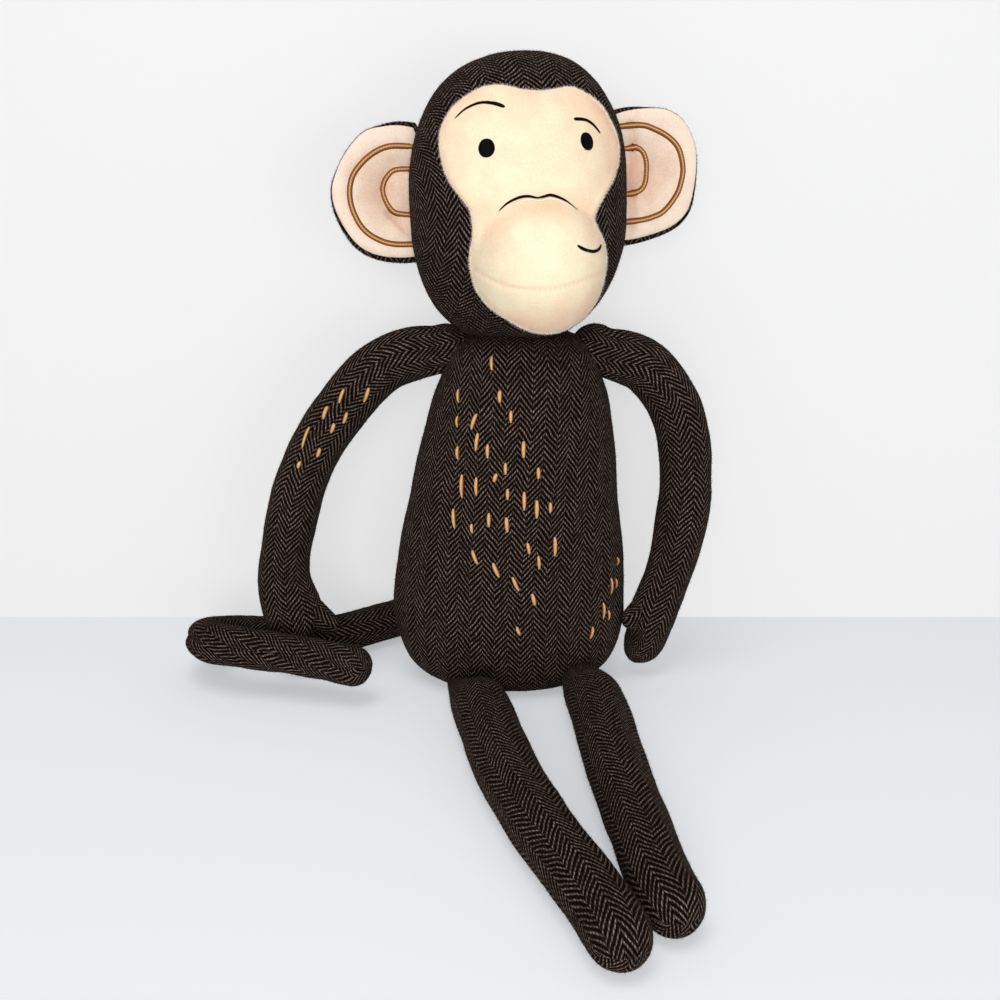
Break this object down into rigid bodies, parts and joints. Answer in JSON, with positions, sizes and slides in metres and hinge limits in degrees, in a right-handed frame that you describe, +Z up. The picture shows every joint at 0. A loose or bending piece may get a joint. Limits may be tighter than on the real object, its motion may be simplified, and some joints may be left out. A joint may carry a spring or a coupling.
{
  "type": "plush monkey pillow",
  "caption": "Sitting stuffed monkey in dark herringbone tweed with a cream velour face, cupped ears with sewn rings, long soft limbs and a looped tail.",
  "frame": {"origin": "the middle of the flat seat, on the surface that the toy sits on", "axes": "-Y is the way that the chest faces, +X is the toy's own left, +Z is up towards the crown"},
  "size_m": [0.3314, 0.375, 0.3739],
  "materials": {
    "tweed": "brushed herringbone weave",
    "face_velour": "short soft pile",
    "ear_velour": "short soft pile",
    "black_thread": "satin stitch",
    "caramel_thread": "satin stitch",
    "fibre_fill": "loose white fibre"
  },
  "bodies": {
    "torso": {"torso_cover": "tweed", "torso_stuffing": "fibre_fill"},
    "head": {"head_cover": "tweed", "head_stuffing": "fibre_fill", "face_panel": "face_velour", "chin_panel": "face_velour", "right_eye": "black_thread", "left_eye": "black_thread", "right_brow": "black_thread", "left_brow": "black_thread", "nose_line": "black_thread", "mouth_line": "black_thread"},
    "right_ear": {"right_ear_front": "ear_velour", "right_ear_back": "tweed", "right_ear_outer_ring": "caramel_thread", "right_ear_inner_ring": "caramel_thread"},
    "left_ear": {"left_ear_front": "ear_velour", "left_ear_back": "tweed", "left_ear_outer_ring": "caramel_thread", "left_ear_inner_ring": "caramel_thread"},
    "right_arm": {"right_arm_cover": "tweed", "right_arm_stuffing": "fibre_fill"},
    "left_arm": {"left_arm_cover": "tweed", "left_arm_stuffing": "fibre_fill"},
    "right_leg": {"right_leg_cover": "tweed", "right_leg_stuffing": "fibre_fill"},
    "left_leg": {"left_leg_cover": "tweed", "left_leg_stuffing": "fibre_fill"},
    "tail": {"tail_cover": "tweed", "tail_stuffing": "fibre_fill"}
  },
  "joints": [
    {"name": "neck_turn", "type": "hinge", "parent": "torso", "child": "head", "pos_m": [0.007, 0, 0.222], "axis": [0, 0, 1], "range_deg": [-36, 14], "stiffness_Nm_per_rad": 0.15},
    {"name": "right_ear_flex", "type": "hinge", "parent": "head", "child": "right_ear", "pos_m": [-0.05868, -0.00515, 0.29784], "axis": [-0.0295, -0.0025, 0.9996], "range_deg": [-18, 18], "stiffness_Nm_per_rad": 0.02},
    {"name": "left_ear_flex", "type": "hinge", "parent": "head", "child": "left_ear", "pos_m": [0.06383, 0.01866, 0.30612], "axis": [-0.0283, -0.0088, 0.9996], "range_deg": [-18, 18], "stiffness_Nm_per_rad": 0.02},
    {"name": "right_shoulder_turn", "type": "hinge", "parent": "torso", "child": "right_arm", "pos_m": [-0.03764, 0, 0.209], "axis": [-0.4972, -0.0347, -0.8669], "range_deg": [-8, 32], "stiffness_Nm_per_rad": 0.02},
    {"name": "left_shoulder_raise", "type": "hinge", "parent": "torso", "child": "left_arm", "pos_m": [0.05164, 0, 0.209], "axis": [0, -1, 0], "range_deg": [0, 50], "stiffness_Nm_per_rad": 0.02},
    {"name": "right_hip", "type": "hinge", "parent": "torso", "child": "right_leg", "pos_m": [-0.026, -0.04496, 0.016], "axis": [1, 0, 0], "range_deg": [-20, 75], "stiffness_Nm_per_rad": 0.03},
    {"name": "left_hip", "type": "hinge", "parent": "torso", "child": "left_leg", "pos_m": [0.043, -0.03757, 0.016], "axis": [1, 0, 0], "range_deg": [-20, 75], "stiffness_Nm_per_rad": 0.03},
    {"name": "tail_droop", "type": "hinge", "parent": "torso", "child": "tail", "pos_m": [-0.02, 0.04745, 0.02], "axis": [0, -1, 0], "range_deg": [0, 45], "stiffness_Nm_per_rad": 0.03}
  ]
}
